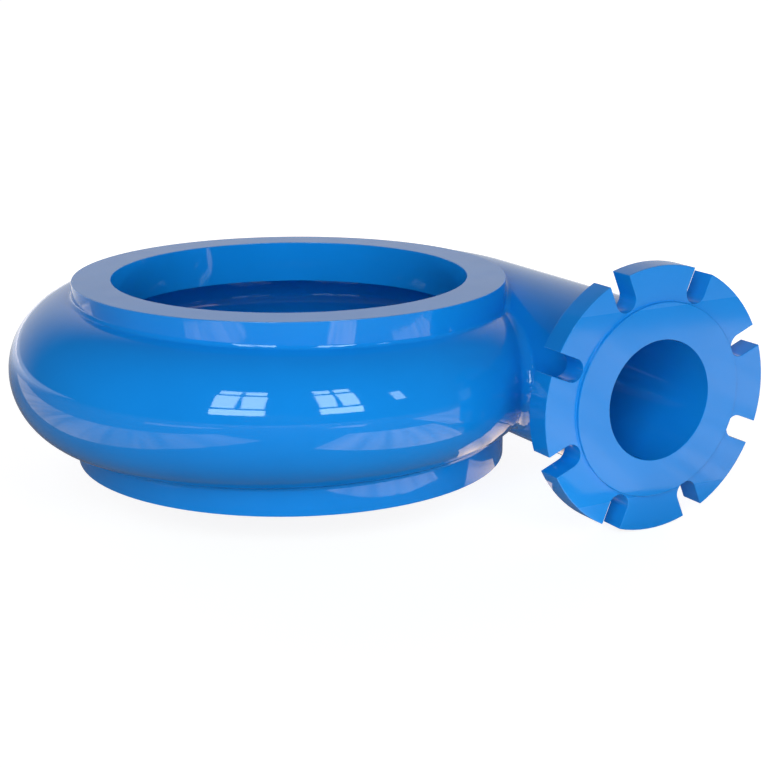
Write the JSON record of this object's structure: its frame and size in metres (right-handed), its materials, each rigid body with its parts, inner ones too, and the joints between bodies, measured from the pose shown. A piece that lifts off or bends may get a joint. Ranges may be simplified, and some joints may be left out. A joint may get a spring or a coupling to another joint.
{
  "type": "volute pump casing",
  "caption": "Cast spiral casing of a centrifugal pump: open impeller chamber between two flat end rings, round volute, and a tangential discharge pipe with a slotted flange.",
  "frame": {"origin": "where the pump axis crosses the plane of the discharge axis", "axes": "+Z along the pump axis, towards the upper ring; +X along the discharge, out of its flange"},
  "size_m": [0.5227, 0.5482, 0.2198],
  "materials": {
    "blue_enamel": "glossy blue enamel over cast iron"
  },
  "bodies": {
    "root": {"volute_casing": "blue_enamel"}
  },
  "joints": []
}
